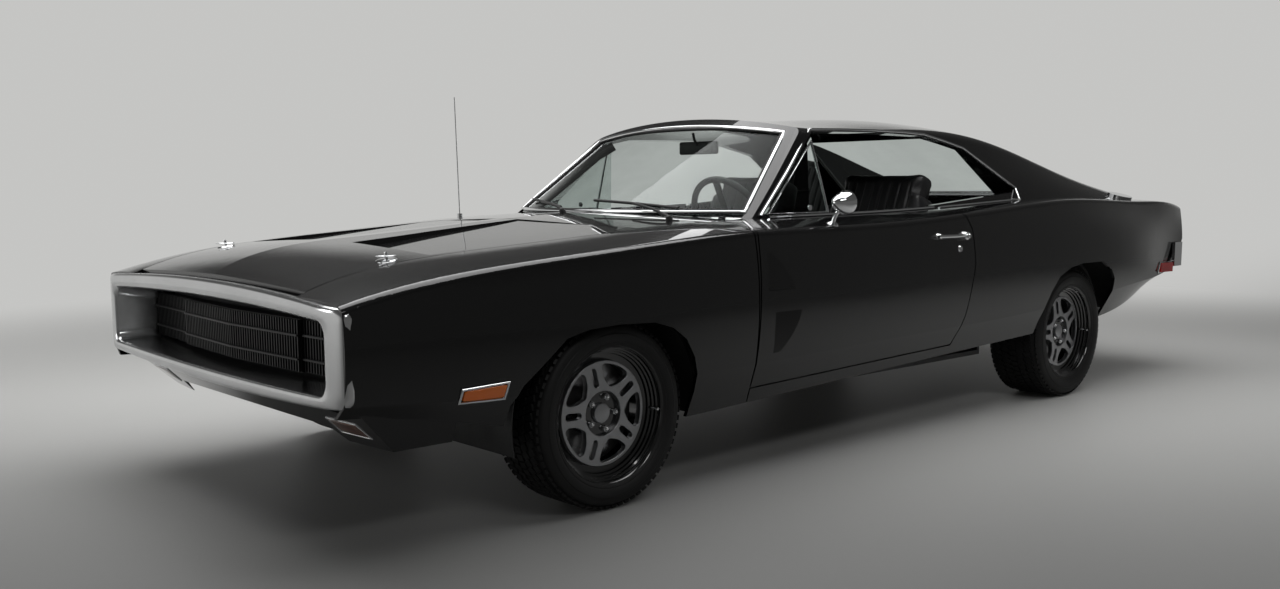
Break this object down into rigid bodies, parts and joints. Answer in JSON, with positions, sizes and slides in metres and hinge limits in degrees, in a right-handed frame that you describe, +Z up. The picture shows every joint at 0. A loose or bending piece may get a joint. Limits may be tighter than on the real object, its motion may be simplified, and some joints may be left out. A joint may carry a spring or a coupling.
{
  "type": "classic two-door fastback coupe",
  "caption": "Full-size two-door fastback coupe with a loop front bumper round a recessed grille, long hood, sail panels beside the rear window and deep black wheels.",
  "frame": {"origin": "on the ground, at the middle of the car's length and width", "axes": "+X to the front, +Y to the car's left, +Z up"},
  "size_m": [5.2828, 1.9382, 1.434],
  "materials": {
    "gloss_black_paint": "deep gloss clear coat",
    "bright_chrome": "polished, satin on the loop",
    "black_grille": "satin black",
    "amber_lens": "clear gloss",
    "red_lens": "clear gloss",
    "clear_glass": "polished",
    "black_chassis": "satin black",
    "engine_metal": "plain",
    "black_trim": "fine grain",
    "black_vinyl": "satin grain",
    "tyre_rubber": "matte",
    "dark_rim": "gunmetal",
    "disc_steel": "turned"
  },
  "bodies": {
    "body": {"body_shell": "gloss_black_paint", "front_valance": "gloss_black_paint", "tail_panel": "gloss_black_paint", "fender_left": "gloss_black_paint", "fender_right": "gloss_black_paint", "front_bumper": "bright_chrome", "rear_bumper": "bright_chrome", "antenna": "bright_chrome", "fuel_cap": "bright_chrome", "grille": "black_grille", "wipers": "black_grille", "front_lamps": "amber_lens", "tail_lamps": "red_lens", "windshield": "clear_glass", "rear_window": "clear_glass", "floor_pan": "black_chassis", "front_structure": "black_chassis", "rear_axle": "black_chassis", "leaf_springs": "black_chassis", "front_suspension": "black_chassis", "driveshaft": "black_chassis", "fuel_tank": "black_chassis", "engine": "engine_metal", "exhaust": "engine_metal", "dashboard": "black_trim", "interior_trim": "black_trim", "front_seats": "black_vinyl", "rear_seat": "black_vinyl"},
    "hood": {"hood": "gloss_black_paint"},
    "decklid": {"decklid": "gloss_black_paint"},
    "steering": {"steering_wheel": "black_trim"},
    "door_left": {"door_left": "gloss_black_paint", "vent_window_left": "bright_chrome", "mirror_left": "bright_chrome"},
    "steer_left": {"knuckle_left": "disc_steel"},
    "wheel_front_left": {"tyre_front_left": "tyre_rubber", "rim_front_left": "dark_rim", "brake_disc_front_left": "disc_steel"},
    "wheel_rear_left": {"tyre_rear_left": "tyre_rubber", "rim_rear_left": "dark_rim", "brake_disc_rear_left": "disc_steel"},
    "door_right": {"door_right": "gloss_black_paint", "vent_window_right": "bright_chrome", "mirror_right": "bright_chrome"},
    "steer_right": {"knuckle_right": "disc_steel"},
    "wheel_front_right": {"tyre_front_right": "tyre_rubber", "rim_front_right": "dark_rim", "brake_disc_front_right": "disc_steel"},
    "wheel_rear_right": {"tyre_rear_right": "tyre_rubber", "rim_rear_right": "dark_rim", "brake_disc_rear_right": "disc_steel"}
  },
  "joints": [
    {"name": "steer_left", "type": "hinge", "parent": "body", "child": "steer_left", "pos_m": [1.6765, 0.7, 0.308], "axis": [0, 0, 1], "range_deg": [-30, 30]},
    {"name": "wheel_front_left", "type": "hinge", "parent": "steer_left", "child": "wheel_front_left", "pos_m": [1.6765, 0.775, 0.308], "axis": [0, 1, 0], "continuous": true},
    {"name": "wheel_rear_left", "type": "hinge", "parent": "body", "child": "wheel_rear_left", "pos_m": [-1.2955, 0.762, 0.318], "axis": [0, 1, 0], "continuous": true},
    {"name": "door_left", "type": "hinge", "parent": "body", "child": "door_left", "pos_m": [1.028, 0.932, 0.6], "axis": [0, 0, -1], "range_deg": [0, 62]},
    {"name": "steer_right", "type": "hinge", "parent": "body", "child": "steer_right", "pos_m": [1.6765, -0.7, 0.308], "axis": [0, 0, 1], "range_deg": [-30, 30]},
    {"name": "wheel_front_right", "type": "hinge", "parent": "steer_right", "child": "wheel_front_right", "pos_m": [1.6765, -0.775, 0.308], "axis": [0, 1, 0], "continuous": true},
    {"name": "wheel_rear_right", "type": "hinge", "parent": "body", "child": "wheel_rear_right", "pos_m": [-1.2955, -0.762, 0.318], "axis": [0, 1, 0], "continuous": true},
    {"name": "door_right", "type": "hinge", "parent": "body", "child": "door_right", "pos_m": [1.028, -0.932, 0.6], "axis": [0, 0, 1], "range_deg": [0, 62]},
    {"name": "hood_hinge", "type": "hinge", "parent": "body", "child": "hood", "pos_m": [1.384, 0, 0.95], "axis": [0, -1, 0], "range_deg": [0, 50]},
    {"name": "decklid_hinge", "type": "hinge", "parent": "body", "child": "decklid", "pos_m": [-1.9, 0, 0.985], "axis": [0, 1, 0], "range_deg": [0, 60]},
    {"name": "steering_turn", "type": "hinge", "parent": "body", "child": "steering", "pos_m": [0.64, 0.37, 0.868], "axis": [-0.892, 0, 0.452], "range_deg": [-480, 480]}
  ],
  "couplings": [
    {"joint": "steer_right", "follows": "steer_left", "ratio": 1},
    {"joint": "steering_turn", "follows": "steer_left", "ratio": 16}
  ]
}
